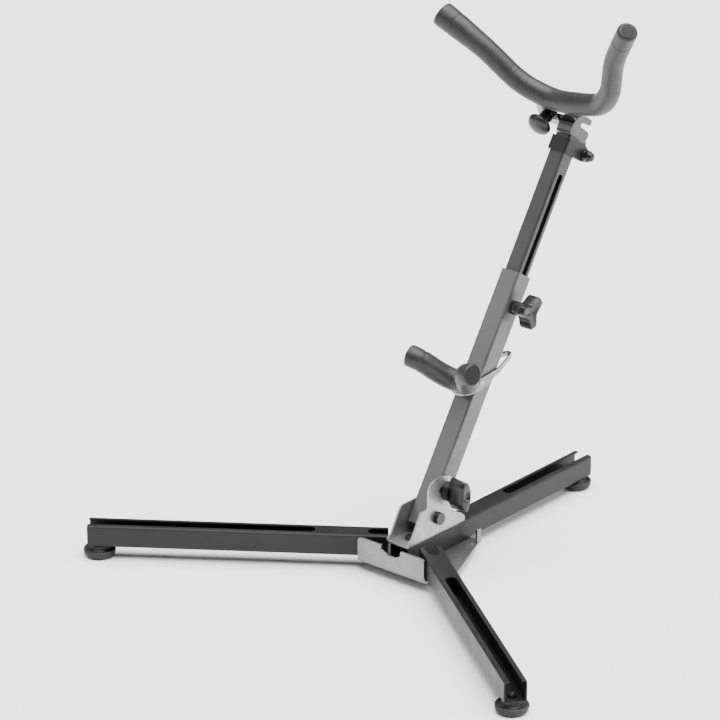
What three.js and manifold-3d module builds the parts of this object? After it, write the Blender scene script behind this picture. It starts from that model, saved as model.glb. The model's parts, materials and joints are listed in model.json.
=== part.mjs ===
// Folding floor stand for a saxophone: a tripod of square tubes, a raked telescopic
// mast, a padded fork at its head and a padded rest lower down.
// Millimetres, +Z up, floor at z = 0. The rear leg points to +Y and the fork faces -Y.
import * as THREE from 'three';
import { mergeVertices } from 'three/addons/utils/BufferGeometryUtils.js';
import Module from 'manifold-3d';

const wasm = await Module();
wasm.setup();

// ---- driving dimensions ----------------------------------------------------
const GAP = 0.3;
const TUBE = 25;
const WALL = 1.5;
const TUBE_CORNER = 2.6;

const LEG_INNER_END = 5;
const LEG_PIVOT_AT = 18;
const LEG_FOOT_AT = 326;
const LEG_OUTER_END = 338;
const LEG_SPREAD_DEG = 125.6;
const LEG_ORIGIN_X = 26;
const LEG_ORIGIN_Y = -26.9;
const LEG_SLOT_WIDTH = 13;
const LEG_SLOT_FROM = 85;
const PIVOT_SLOT_TO = 27;

const PLATE_THICK = 2.5;
const PLATE_BOTTOM = 10;
const PLATE_TOP = PLATE_BOTTOM + PLATE_THICK;
const FLANGE_FRONT = -61.2;
const FLANGE_HALF = 47;
const FLANGE_TOP = 40;
const WASHER_THICK = 2;
const FRONT_LEG_BOTTOM = PLATE_TOP + WASHER_THICK + 2 * GAP;
const REAR_LEG_BOTTOM = PLATE_TOP + GAP;
const REAR_LEG_START = -46.2;
const REAR_LEG_END = 286;
const REAR_FOOT_AT = 273.2;
const REAR_SLOT_FROM = 140;

const FOOT_RADIUS = 18.1;
const FOOT_NECK_RADIUS = 11;

const BRACKET_THICK = 2.3;
const BRACKET_HALF = 15.5;
const BRACKET_BOTTOM = REAR_LEG_BOTTOM + TUBE + GAP;
const BRACKET_SCREWS_Y = [-29, 32];

const MAST_TILT = THREE.MathUtils.degToRad(33.04);
const MAST_PIVOT_Z = 60;
const OUTER_START = -14;
const OUTER_END = 284.5;
const INNER_TUBE = 20.3;
const INNER_START = 190;
const INNER_END = 446;
const INNER_SLOT_WIDTH = 8.1;
const INNER_SLOT = [225, 404];
const HUB_AT = 31.4;
const HEIGHT_AT = 247;

const COLLAR_FROM = 427.5;
const COLLAR_TO = 444;
const COLLAR_THICK = 2;
const HEAD_BOLT_S = 435.6;
const HEAD_BOLT_BACK = 26;

const ROD_RADIUS = 4;
const FORK_PAD_RADIUS = 12;
const FORK_ROLL = THREE.MathUtils.degToRad(12.5);
const FORK_SWIVEL = THREE.MathUtils.degToRad(-4.1);
const FORK_TURN_CENTRE = [-13, -17.4, 15.6];
const FORK_LEAN = THREE.MathUtils.degToRad(149.4);
const FORK_CENTRE_S = 481.7;
const FORK_CENTRE_FRONT = 31.3;
const FORK_SHIFT = 19.9;
const FORK_KNOB_X = -30.8;
const FORK_KNOB_UP = -30;
const FORK_PLATE_OUTLINE = [[-40, -38], [-13, -38], [-13, -8], [-40, -8]];
const CLAMP_OUTLINE = [[-39, -38], [9.8, -38], [9.8, -24], [-39, -24]];
const LUG_HALF = 9.8;
const REST_PAD_RADIUS = 12.5;

const FOOT_OFFSET = LEG_FOOT_AT * Math.cos(THREE.MathUtils.degToRad(LEG_SPREAD_DEG));
const BOUNDS_FRONT = LEG_ORIGIN_Y + FOOT_OFFSET - FOOT_RADIUS;
const BOUNDS_REAR = REAR_FOOT_AT + FOOT_RADIUS;
const CENTRE_Y = (BOUNDS_FRONT + BOUNDS_REAR) / 2;

// ---- solids ----------------------------------------------------------------
function toSolid(geometry) {
  const bare = geometry.clone();
  bare.deleteAttribute('normal');
  bare.deleteAttribute('uv');
  const merged = mergeVertices(bare, 1e-4);
  const triVerts = Uint32Array.from(merged.index.array);
  const vertProperties = Float32Array.from(merged.attributes.position.array);
  return new wasm.Manifold(new wasm.Mesh({ numProp: 3, vertProperties, triVerts }));
}

function toGeometry(solid) {
  const mesh = solid.getMesh();
  const geometry = new THREE.BufferGeometry();
  geometry.setAttribute('position', new THREE.BufferAttribute(Float32Array.from(mesh.vertProperties), 3));
  geometry.setIndex(Array.from(mesh.triVerts));
  geometry.computeVertexNormals();
  return geometry;
}

function join(first, ...others) {
  return others.reduce((body, other) => body.add(toSolid(other)), asSolid(first));
}

function cut(first, ...tools) {
  return tools.reduce((body, tool) => body.subtract(asSolid(tool)), asSolid(first));
}

function asSolid(item) {
  return item.isBufferGeometry ? toSolid(item) : item;
}

// ---- basic shapes ----------------------------------------------------------
function block(x0, x1, y0, y1, z0, z1) {
  const box = new THREE.BoxGeometry(x1 - x0, y1 - y0, z1 - z0);
  return box.translate((x0 + x1) / 2, (y0 + y1) / 2, (z0 + z1) / 2);
}

function polygon(points) {
  return new THREE.Shape(points.map(([a, b]) => new THREE.Vector2(a, b)));
}

// Polygon with every corner rounded by the same radius.
function roundedPolygon(points, radius) {
  const shape = new THREE.Shape();
  const count = points.length;
  points.forEach((point, i) => {
    const corner = new THREE.Vector2(...point);
    const before = new THREE.Vector2(...points[(i + count - 1) % count]).sub(corner);
    const after = new THREE.Vector2(...points[(i + 1) % count]).sub(corner);
    const reach = Math.min(radius, before.length() * 0.45, after.length() * 0.45);
    const entry = corner.clone().add(before.setLength(reach));
    const exit = corner.clone().add(after.setLength(reach));
    if (i === 0) shape.moveTo(entry.x, entry.y);
    else shape.lineTo(entry.x, entry.y);
    shape.quadraticCurveTo(corner.x, corner.y, exit.x, exit.y);
  });
  shape.closePath();
  return shape;
}

function rectangle(halfA, halfB, radius) {
  return roundedPolygon([[-halfA, -halfB], [halfA, -halfB], [halfA, halfB], [-halfA, halfB]], radius);
}

// Shape drawn in (x, y), standing from z0 to z1.
function alongZ(shape, z0, z1, curveSegments = 3) {
  const settings = { depth: z1 - z0, bevelEnabled: false, curveSegments };
  return new THREE.ExtrudeGeometry(shape, settings).translate(0, 0, z0);
}

// Shape drawn in (y, z), running from x0 to x1.
function alongX(shape, x0, x1, curveSegments = 3) {
  const frame = new THREE.Matrix4().makeBasis(
    new THREE.Vector3(0, 1, 0), new THREE.Vector3(0, 0, 1), new THREE.Vector3(1, 0, 0));
  return alongZ(shape, x0, x1, curveSegments).applyMatrix4(frame);
}

// Shape drawn in (x, z), running from y0 to y1.
function alongY(shape, y0, y1, curveSegments = 3) {
  const frame = new THREE.Matrix4().makeBasis(
    new THREE.Vector3(1, 0, 0), new THREE.Vector3(0, 0, 1), new THREE.Vector3(0, -1, 0));
  return alongZ(shape, -y1, -y0, curveSegments).applyMatrix4(frame);
}

function pinZ(x, y, z0, z1, radius, segments = 16) {
  const pin = new THREE.CylinderGeometry(radius, radius, z1 - z0, segments);
  return pin.rotateX(Math.PI / 2).translate(x, y, (z0 + z1) / 2);
}

function pinX(x0, x1, y, z, radius, segments = 20) {
  const pin = new THREE.CylinderGeometry(radius, radius, x1 - x0, segments);
  return pin.rotateZ(-Math.PI / 2).translate((x0 + x1) / 2, y, z);
}

// Turned shape on the Z axis from (radius, height) pairs that start and end on it.
function turned(profile, segments = 18) {
  const points = profile.map(([r, z]) => new THREE.Vector2(r, z));
  return new THREE.LatheGeometry(points, segments).rotateX(Math.PI / 2);
}

function lieAlongX(geometry) {
  return geometry.rotateY(Math.PI / 2);
}

function squareTube(size, from, to) {
  const shape = rectangle(size / 2, size / 2, TUBE_CORNER);
  shape.holes.push(rectangle(size / 2 - WALL, size / 2 - WALL, TUBE_CORNER - 0.9));
  return alongZ(shape, from, to, 3);
}

function hexNut(acrossFlats, holeRadius, z0, z1) {
  const body = pinZ(0, 0, z0, z1, acrossFlats / Math.sqrt(3), 6);
  return toGeometry(cut(body, pinZ(0, 0, z0 - 1, z1 + 1, holeRadius, 14)));
}

// Slot seen along Z with a round end at either end of its straight run along Y.
function slotTool(halfWidth, y0, y1, z0, z1) {
  const shape = new THREE.Shape();
  shape.absarc(0, y1, halfWidth, 0, Math.PI, false);
  shape.absarc(0, y0, halfWidth, Math.PI, 2 * Math.PI, false);
  shape.closePath();
  return alongZ(shape, z0, z1, 7);
}

// Round bar swept along a curve, optionally hollow.
function swept(curve, radius, boreRadius, steps, segments = 20) {
  const shape = new THREE.Shape();
  shape.absarc(0, 0, radius, 0, 2 * Math.PI, false);
  if (boreRadius > 0) {
    const bore = new THREE.Path();
    bore.absarc(0, 0, boreRadius, 0, 2 * Math.PI, true);
    shape.holes.push(bore);
  }
  const settings = { steps, bevelEnabled: false, extrudePath: curve, curveSegments: segments / 2 };
  return new THREE.ExtrudeGeometry(shape, settings);
}

// ---- scene groups ----------------------------------------------------------
const stand = new THREE.Group();
const floorGroup = new THREE.Group();
floorGroup.position.set(0, -CENTRE_Y, 0);
stand.add(floorGroup);

// Mast frame: +Z runs up the mast, +Y points to its back, origin on the pivot pin.
const mastGroup = new THREE.Group();
mastGroup.position.set(0, 0, MAST_PIVOT_Z);
mastGroup.rotation.x = -MAST_TILT;
floorGroup.add(mastGroup);

function addPiece(group, name, item, color, roughness, metalness) {
  const geometry = item.isBufferGeometry ? item : toGeometry(item);
  const material = new THREE.MeshStandardMaterial({ color, roughness, metalness });
  const mesh = new THREE.Mesh(geometry, material);
  mesh.name = name;
  group.add(mesh);
}

const BLACK_PAINT = [0x3a3a3c, 0.42, 0.3];
const ZINC = [0xc9cac8, 0.32, 0.9];
const BRIGHT = [0xdddddd, 0.15, 1.0];
const DARK_STEEL = [0x2c2c2e, 0.35, 0.8];
const BLACK_RUBBER = [0x232323, 0.85, 0.0];
const BLACK_PLASTIC = [0x1d1d1f, 0.35, 0.0];
const PAD = [0x4a4a4b, 0.7, 0.0];

// ---- base plate ------------------------------------------------------------
function basePlate() {
  const half = [[FLANGE_HALF, -54], [53.5, -42], [57.5, -15], [24.9, 64.5]];
  const outline = [...half, ...half.slice().reverse().map(([x, y]) => [-x, y])];
  const floor = alongZ(roundedPolygon(outline, 4), PLATE_BOTTOM, PLATE_TOP);

  const bend = new THREE.Shape();
  bend.moveTo(-53, PLATE_BOTTOM);
  bend.lineTo(-53, PLATE_TOP);
  bend.lineTo(FLANGE_FRONT + PLATE_THICK + 2, PLATE_TOP);
  bend.quadraticCurveTo(FLANGE_FRONT + PLATE_THICK, PLATE_TOP, FLANGE_FRONT + PLATE_THICK, PLATE_TOP + 2);
  bend.lineTo(FLANGE_FRONT + PLATE_THICK, 18);
  bend.lineTo(FLANGE_FRONT, 18);
  bend.lineTo(FLANGE_FRONT, PLATE_BOTTOM + 4.5);
  bend.quadraticCurveTo(FLANGE_FRONT, PLATE_BOTTOM, FLANGE_FRONT + 4.5, PLATE_BOTTOM);
  bend.closePath();
  const front = alongX(bend, -FLANGE_HALF, FLANGE_HALF);

  // Upright front flange with a shallow scoop in its top edge.
  const face = new THREE.Shape();
  face.moveTo(-FLANGE_HALF, 17);
  face.lineTo(FLANGE_HALF, 17);
  face.lineTo(FLANGE_HALF, FLANGE_TOP - 5);
  face.quadraticCurveTo(FLANGE_HALF, FLANGE_TOP, FLANGE_HALF - 5, FLANGE_TOP);
  face.lineTo(15, FLANGE_TOP);
  face.quadraticCurveTo(13.5, FLANGE_TOP, 13.5, FLANGE_TOP - 2);
  face.lineTo(13.5, 34.2);
  face.lineTo(6.5, 30);
  face.lineTo(-6.5, 30);
  face.lineTo(-13.5, 34.2);
  face.lineTo(-13.5, FLANGE_TOP - 2);
  face.quadraticCurveTo(-13.5, FLANGE_TOP, -15, FLANGE_TOP);
  face.lineTo(-FLANGE_HALF + 5, FLANGE_TOP);
  face.quadraticCurveTo(-FLANGE_HALF, FLANGE_TOP, -FLANGE_HALF, FLANGE_TOP - 5);
  face.closePath();
  const flange = alongY(face, FLANGE_FRONT, FLANGE_FRONT + PLATE_THICK);

  let plate = join(floor, front, flange);
  for (const side of [-1, 1]) {
    const stop = alongX(roundedPolygon([[58, 11], [64.3, 11], [64.3, 28], [58, 28]], 1.6), -1.2, 1.2);
    const pivot = pivotPoint(side);
    plate = plate.add(toSolid(stop.translate(side * 25.4, 0, 0)));
    plate = cut(plate, pinZ(pivot.x, pivot.y, 0, 20, 3.3), pinZ(side * 24.6, 52.6, 0, 20, 2.6));
  }
  return cut(plate, ...BRACKET_SCREWS_Y.map((y) => pinZ(0, y, 0, 20, 2.9)));
}

// ---- legs ------------------------------------------------------------------
function pivotPoint(side) {
  const angle = THREE.MathUtils.degToRad(LEG_SPREAD_DEG);
  const x = side * (LEG_ORIGIN_X + LEG_PIVOT_AT * Math.sin(angle));
  return new THREE.Vector2(x, LEG_ORIGIN_Y + LEG_PIVOT_AT * Math.cos(angle));
}

// A leg drawn along +Y with its underside at z = 0.
function legTube(from, to) {
  return squareTube(TUBE, from, to).rotateX(-Math.PI / 2).translate(0, 0, TUBE / 2);
}

function frontLeg() {
  const above = [TUBE - 5, TUBE + 5];
  const half = LEG_SLOT_WIDTH / 2;
  return cut(
    legTube(LEG_INNER_END, LEG_OUTER_END),
    slotTool(half, LEG_SLOT_FROM + half, LEG_OUTER_END + 20, ...above),
    slotTool(half, LEG_INNER_END - 20, PIVOT_SLOT_TO - half, ...above),
    pinZ(0, LEG_PIVOT_AT, -1, 5, 3.3),
    pinZ(0, LEG_FOOT_AT, -1, 5, 2.8),
  );
}

function rearLeg() {
  const half = LEG_SLOT_WIDTH / 2;
  return cut(
    legTube(REAR_LEG_START, REAR_LEG_END),
    slotTool(half, REAR_SLOT_FROM + half, REAR_LEG_END + 20, TUBE - 5, TUBE + 5),
    pinZ(0, REAR_FOOT_AT, -1, 5, 2.8),
    ...BRACKET_SCREWS_Y.map((y) => pinZ(0, y, -1, TUBE + 1, 2.9)),
  );
}

// Rubber foot: a broad disc with a narrower neck, bored for its screw.
function foot(height) {
  const neck = FOOT_NECK_RADIUS;
  return turned([
    [2.6, 4.2], [5.4, 4.2], [5.4, 0], [13.2, 0], [15.8, 1.3], [17.5, 4], [FOOT_RADIUS, 7.6],
    [17.4, 9.2], [16, 9.5], [13.6, 8.8], [neck + 0.6, 9.9], [neck, 11.6], [neck, height],
    [2.6, height], [2.6, 4.2],
  ], 28);
}

function footScrew(length) {
  return turned([
    [0, 0.9], [4, 0.9], [4.8, 1.8], [4.8, 3.9], [2.2, 3.9], [2.2, length - 0.6], [1.6, length], [0, length],
  ]);
}

function footNut(z0) {
  return hexNut(8, 2.5, z0, z0 + 3.6);
}

function pivotBolt(headBottom) {
  const head = headBottom + 4.6;
  return turned([
    [0, 3.2], [2.4, 3.2], [3, 3.8], [3, headBottom], [5.6, headBottom], [5.6, head - 1.2], [4.4, head],
    [0, head],
  ]);
}

// Everything that swings with one front leg is drawn along +Y, then turned outwards.
function frontLegGroup(side) {
  const leg = new THREE.Group();
  leg.position.set(side * LEG_ORIGIN_X, LEG_ORIGIN_Y, 0);
  leg.rotation.z = -side * THREE.MathUtils.degToRad(LEG_SPREAD_DEG);
  floorGroup.add(leg);
  return leg;
}

function raised(item, height) {
  const geometry = item.isBufferGeometry ? item : toGeometry(item);
  return geometry.translate(0, 0, height);
}

// ---- upright bracket -------------------------------------------------------
function uprightBracket() {
  const low = BRACKET_BOTTOM;
  const channel = new THREE.Shape();
  const out = BRACKET_HALF;
  const inn = BRACKET_HALF - BRACKET_THICK;
  const floorTop = low + BRACKET_THICK;
  channel.moveTo(-out, 115);
  channel.lineTo(-out, low + 3.3);
  channel.quadraticCurveTo(-out, low, -out + 3.3, low);
  channel.lineTo(out - 3.3, low);
  channel.quadraticCurveTo(out, low, out, low + 3.3);
  channel.lineTo(out, 115);
  channel.lineTo(inn, 115);
  channel.lineTo(inn, floorTop + 1);
  channel.quadraticCurveTo(inn, floorTop, inn - 1, floorTop);
  channel.lineTo(-inn + 1, floorTop);
  channel.quadraticCurveTo(-inn, floorTop, -inn, floorTop + 1);
  channel.lineTo(-inn, 115);
  channel.closePath();
  const sheet = alongY(channel, -60, 60);

  const foot = [[49, low - 1], [49, 46], [40, 52.6]];
  const front = [[-49, low - 1], [-49, 44], [-43.5, 47.4], [-28.3, 73.2], [-25, 75.2], [-17, 75.2]];
  const nearOutline = roundedPolygon([
    ...front.slice().reverse(), ...foot, [31, 56], [35.5, 90], [29, 98], [20, 104], [8, 106.8],
    [-3, 106.2], [-10, 103.4], [-14, 98.5], [-15, 80],
  ].reverse(), 3);
  const farOutline = roundedPolygon([
    ...front.slice().reverse(), ...foot, [25, 56], [22, 68], [16, 75.2],
  ].reverse(), 3);
  const nearEar = alongX(nearOutline, 0, 20);
  const farEar = alongX(farOutline, -20, 0.01);
  let bracket = toSolid(sheet).intersect(toSolid(nearEar).add(toSolid(farEar)));
  bracket = cut(bracket, pinX(-20, 20, 0, MAST_PIVOT_Z, 4.3), tiltSlot());
  return cut(bracket, ...BRACKET_SCREWS_Y.map((y) => pinZ(0, y, 30, 50, 2.9)));
}

// Curved slot centred on the mast pivot, open at its lower rear end.
function tiltSlot() {
  const half = 4.2;
  const start = THREE.MathUtils.degToRad(90 - 14);
  const end = THREE.MathUtils.degToRad(90 - 94);
  const ring = new THREE.Shape();
  ring.absarc(0, 0, HUB_AT + half, end, start, false);
  ring.absarc(0, 0, HUB_AT - half, start, end, true);
  ring.closePath();
  const endY = HUB_AT * Math.cos(start);
  const endZ = HUB_AT * Math.sin(start);
  const round = pinX(10, 20, endY, endZ, half);
  const tool = join(alongX(ring, 10, 20, 9), round);
  return tool.translate(0, 0, MAST_PIVOT_Z);
}

// ---- knobs -----------------------------------------------------------------
// Faceted wing knob on an X axis bolt: local y is back, local z is up.
function hubKnob(x0, x1) {
  const outline = roundedPolygon([
    [-7.5, 14], [-3, 20.5], [4, 17], [8.5, 6], [8.5, -6], [2.5, -20.5], [-3, -17], [-7.5, -10],
  ].reverse(), 1.6);
  const body = alongX(outline, x0, x1);
  return cut(taperX(body, x0, x1, 0.9), pinX(x1 - 2.6, x1 + 5, 0, 0, 5.6), pinX(x0 - 1, x1 - 5, 0, 0, 4.1));
}

// Shrinks a shape towards its X axis from full size at x0 to the given scale at x1.
function taperX(geometry, x0, x1, scale) {
  const position = geometry.attributes.position;
  for (let i = 0; i < position.count; i += 1) {
    const along = (position.getX(i) - x0) / (x1 - x0);
    const factor = 1 + (scale - 1) * along;
    position.setY(i, position.getY(i) * factor);
    position.setZ(i, position.getZ(i) * factor);
  }
  return geometry;
}

// Distance to the edge of three square-ended wings with hollow flanks between them.
function wingRadius(angle) {
  const third = (2 * Math.PI) / 3;
  const turn = angle - THREE.MathUtils.degToRad(36) + third / 2;
  const fromWing = Math.abs(turn - Math.floor(turn / third) * third - third / 2);
  const off = THREE.MathUtils.radToDeg(fromWing);
  if (off < 13) return 19.6 / Math.cos(fromWing);
  if (off < 30) return 20.1 - 8.1 * ((off - 13) / 17) ** 0.8;
  return 12 - 3 * ((off - 30) / 30) ** 0.7;
}

// Three-winged hand knob with a round stem: wings are given as angles from up towards back.
function wingKnob(x0, stemEnd, x1) {
  const shape = new THREE.Shape();
  const steps = 60;
  for (let i = 0; i < steps; i += 1) {
    const angle = (i / steps) * 2 * Math.PI;
    const radius = wingRadius(angle);
    const point = [radius * Math.cos(angle), radius * Math.sin(angle)];
    if (i === 0) shape.moveTo(...point);
    else shape.lineTo(...point);
  }
  shape.closePath();
  const body = alongX(shape, stemEnd, x1);
  const dish = new THREE.SphereGeometry(60, 40, 30).translate(x1 + 58.2, 0, 0);
  return cut(join(body, pinX(x0, stemEnd + 1, 0, 0, 7.8)), dish, pinX(x0 - 1, x1 - 6, 0, 0, 4));
}

// Bolt along +X with its head inside a tube wall.
function clampBolt(headStart, headEnd, tip, radius, headRadius) {
  const head = pinX(headStart, headEnd, 0, 0, headRadius, 6);
  return join(head, pinX(headEnd - 0.5, tip, 0, 0, radius, 24));
}

// ---- mast ------------------------------------------------------------------
function outerTube() {
  const half = TUBE / 2;
  return cut(
    squareTube(TUBE, OUTER_START, OUTER_END),
    pinX(-half - 1, half + 1, 0, 0, 4.3),
    pinX(half - 4, half + 1, 0, HUB_AT, 4.1),
    pinX(half - 4, half + 1, 0, HEIGHT_AT, 4),
  );
}

function innerTube() {
  const half = INNER_SLOT_WIDTH / 2;
  const slot = slotTool(half, INNER_SLOT[0] + half, INNER_SLOT[1] - half, 6, 14);
  // The slot tool is drawn flat, then stood up so that it opens on the +X face.
  slot.rotateX(Math.PI / 2).rotateZ(Math.PI / 2);
  return cut(squareTube(INNER_TUBE, INNER_START, INNER_END), slot);
}

function endCap() {
  const lid = alongZ(rectangle(10, 10, 2.4), INNER_END + GAP, INNER_END + 2);
  const plug = alongZ(rectangle(8.3, 8.3, 1.5), INNER_END - 9, INNER_END + 1);
  return join(lid, plug);
}

function headCollar() {
  const inn = INNER_TUBE / 2 + GAP;
  const out = inn + COLLAR_THICK;
  const back = 34;
  const wrap = new THREE.Shape();
  wrap.moveTo(-out, back);
  wrap.lineTo(-out, -out + 2.6);
  wrap.quadraticCurveTo(-out, -out, -out + 2.6, -out);
  wrap.lineTo(out - 2.6, -out);
  wrap.quadraticCurveTo(out, -out, out, -out + 2.6);
  wrap.lineTo(out, back);
  wrap.lineTo(inn, back);
  wrap.lineTo(inn, -inn + 0.6);
  wrap.lineTo(inn - 0.6, -inn);
  wrap.lineTo(-inn + 0.6, -inn);
  wrap.lineTo(-inn, -inn + 0.6);
  wrap.lineTo(-inn, back);
  wrap.closePath();
  const sheet = alongZ(wrap, COLLAR_FROM - 5, COLLAR_TO + 8);
  const side = roundedPolygon([
    [-20, COLLAR_FROM], [-20, COLLAR_TO], [-9, COLLAR_TO], [17, 447], [29.5, 443.8], [33, 436], [29, 428.6],
    [22, COLLAR_FROM],
  ].reverse(), 2.5);
  const trimmed = toSolid(sheet).intersect(toSolid(alongX(side, -20, 20)));
  return cut(trimmed, pinX(-20, 20, HEAD_BOLT_BACK, HEAD_BOLT_S, 3.3));
}

function headBolt() {
  const head = pinX(-17.2, -12.8, 0, 0, 5.8, 6);
  return join(head, pinX(-13, 21, 0, 0, 3, 24)).translate(0, HEAD_BOLT_BACK, HEAD_BOLT_S);
}

function domeNut() {
  const cap = turned([
    [3.3, 12.8], [6.6, 12.8], [6.8, 14.4], [6.2, 16.2], [6.2, 19.4], [5.4, 22.2], [3.6, 24], [0, 24.6],
    [0, 21.4], [3.3, 21.4], [3.3, 12.8],
  ]);
  return lieAlongX(cap).translate(0, HEAD_BOLT_BACK, HEAD_BOLT_S);
}

// ---- head and fork ---------------------------------------------------------
// Hinged lug in the mast frame: two thick jaws over the mast top and a barrel on the head bolt.
function headLug() {
  const jaw = new THREE.Shape();
  jaw.moveTo(-10, 448.6);
  jaw.lineTo(13, 448.6);
  jaw.quadraticCurveTo(23.5, 448.6, 23.5, 456.5);
  jaw.quadraticCurveTo(23.5, 461.5, 15, 461.5);
  jaw.lineTo(4, 462);
  jaw.quadraticCurveTo(1.5, 464.5, 4, 467);
  jaw.lineTo(19, 468.5);
  jaw.quadraticCurveTo(22.5, 471.5, 19, 475);
  jaw.lineTo(8, 475.5);
  jaw.quadraticCurveTo(-2, 474, -8, 468.5);
  jaw.lineTo(-11.5, 461);
  jaw.quadraticCurveTo(-13, 451, -10, 448.6);
  jaw.closePath();
  const body = alongX(jaw, -LUG_HALF, LUG_HALF, 5);
  const webOutline = polygon([[19.6, 440], [13.6, 452], [22, 456], [30.5, 450], [32.4, 436]].reverse());
  const web = alongX(webOutline, -6, 6);
  const barrel = pinX(-LUG_HALF, LUG_HALF, HEAD_BOLT_BACK, HEAD_BOLT_S, 6.4);
  const clampPlate = alongZ(roundedPolygon(CLAMP_OUTLINE, 3), 1.9, 4);
  const clamp = clampPlate.applyMatrix4(forkToMast());
  return cut(
    join(body, web, barrel, clamp),
    pinX(-20, 20, HEAD_BOLT_BACK, HEAD_BOLT_S, 3.3),
    pinZ(FORK_KNOB_X, FORK_KNOB_UP, 0, 8, 3.3).applyMatrix4(forkToMast()),
  );
}

// Local axes of the fork plane seen in the mast frame: x across, y up the fork, z forward.
function forkToMast() {
  const lean = new THREE.Matrix4().makeRotationX(FORK_LEAN);
  return lean.setPosition(0, -FORK_CENTRE_FRONT, FORK_CENTRE_S);
}

// Half of the fork's centreline in its own plane: [across, up, forward].
const FORK_HALF = [
  [0, -7.4, 0], [19, -7.2, 0], [41.1, -3.5, 0], [71, 18, 3], [105.5, 64.1, 2], [150.7, 108.4, 0],
];

function mirroredCurve(half, shift) {
  const left = half.slice(1).reverse().map(([x, y, z]) => [-x, y, z]);
  const points = [...left, ...half].map(([x, y, z]) => new THREE.Vector3(x + shift, y, z));
  return new THREE.CatmullRomCurve3(points, false, 'centripetal');
}

// Part of a curve between two fractions of its length.
class CurveSpan extends THREE.Curve {
  constructor(curve, from, to) {
    super();
    this.curve = curve;
    this.from = from;
    this.to = to;
  }

  getPoint(t, target = new THREE.Vector3()) {
    return this.curve.getPointAt(this.from + (this.to - this.from) * t, target);
  }
}

// A round bar along a fixed-size curve: rod, pad sleeve and two moulded tips.
function paddedBar(curve, padRadius, tipLength, steps) {
  const length = curve.getLength();
  const tip = tipLength / length;
  const inset = 3 / length;
  const seam = (3 * GAP) / length;
  const sleeveSpan = new CurveSpan(curve, tip + seam, 1 - tip - seam);
  const sleeve = swept(sleeveSpan, padRadius, ROD_RADIUS + 3 * GAP, steps, 14);
  const rod = swept(new CurveSpan(curve, inset, 1 - inset), ROD_RADIUS, 0, steps, 10);
  const bore = swept(new CurveSpan(curve, inset * 0.9, 1 - inset * 0.9), ROD_RADIUS + 3 * GAP, 0, steps, 12);
  const tips = [[0, tip], [1 - tip, 1]].map(([from, to]) => {
    const end = swept(new CurveSpan(curve, from, to), padRadius, 0, 4, 14);
    return cut(end, bore);
  });
  return { sleeve, rod, tips };
}

const forkCurve = mirroredCurve(FORK_HALF, FORK_SHIFT);

function forkPlate() {
  const sheet = alongZ(roundedPolygon(FORK_PLATE_OUTLINE, 3), ROD_RADIUS + GAP, ROD_RADIUS + GAP + 2.2);
  return cut(sheet, pinZ(FORK_KNOB_X, FORK_KNOB_UP, 0, 9, 3.3));
}

// Rounded push-on knob facing forward off the fork plate.
function forkKnob() {
  const z0 = ROD_RADIUS + 2 * GAP + 2.2;
  return turned([
    [0, z0 + 11], [3.3, z0 + 11], [3.3, z0], [7.2, z0], [7.7, z0 + 0.8], [7.5, z0 + 8.6],
    [9.6, z0 + 9.7], [13.4, z0 + 10.3], [14.2, z0 + 12], [13.8, z0 + 14.4], [11.6, z0 + 17.2],
    [7, z0 + 19.2], [0, z0 + 20],
  ]);
}

function forkKnobBolt() {
  const head = pinZ(0, 0, -2.4, 1.6, 5.6, 6);
  return join(head, pinZ(0, 0, 1, 17.2, 3, 24));
}

// ---- lower rest ------------------------------------------------------------
// Half of the rest's centreline in the mast frame: [across, back, along the mast].
const REST_HALF = [
  [0, -27.5, 148], [9, -29.6, 148.2], [17, -37.5, 149], [22.5, -49, 150.6],
  [27.6, -60, 152.6], [31.5, -66, 153.6], [37, -70.3, 154.5], [45, -72.4, 155],
];
const BAND_FRONT = new THREE.Vector3(0, -29.5, 137.9);
const BAND_LEAN = THREE.MathUtils.degToRad(41.6);
const BAND_THICK = 1.7;
const BAND_HALF = 14.6;
const BAND_REACH = 96;
const REST_STUB_LENGTH = 12.4;
const REST_STUB_END = new THREE.Vector3(0, -25, 134.4);

// Local axes of the band's plane in the mast frame: y runs back and up, z towards the rest bar.
function bandToMast() {
  const lean = new THREE.Matrix4().makeRotationX(BAND_LEAN);
  return lean.setPosition(BAND_FRONT);
}

// Outline of the loop seen along the band's z: round nose, straight flanks and a narrow rear end.
function bandLoop(half, reach) {
  const rear = half - 9.2;
  const loop = new THREE.Shape();
  loop.absarc(0, BAND_HALF, half, Math.PI, 2 * Math.PI, false);
  loop.lineTo(half, 59);
  loop.lineTo(half - 2.4, 68);
  loop.absarc(0, reach - rear, rear, 0, Math.PI, false);
  loop.lineTo(2.4 - half, 68);
  loop.lineTo(-half, 59);
  loop.closePath();
  return loop;
}

// Strip that loops round the mast: broad at the rivets, slim at the rear, hollowed under the pad.
function supportBand() {
  const loop = bandLoop(BAND_HALF, BAND_REACH);
  loop.holes.push(bandLoop(BAND_HALF - BAND_THICK, BAND_REACH - BAND_THICK));
  const strip = alongZ(loop, -10, 8, 6);
  const side = polygon([
    [-2, -6.5], [14, -6.5], [24, -8], [40, -8], [50, -3], [99, -2.8], [99, 2.8], [60, 3.6], [32, 5], [-2, 5],
  ]);
  const trimmed = toSolid(strip).intersect(toSolid(alongX(side, -20, 20)));
  const sheet = toGeometry(trimmed).applyMatrix4(bandToMast());
  const padSpace = swept(restCurve, REST_PAD_RADIUS + GAP, 0, 30, 24);
  return cut(sheet, padSpace, pinX(-20, 20, RIVET_BACK, RIVET_S, 2));
}

const RIVET_BACK = -11.6;
const RIVET_S = 155.4;

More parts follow.
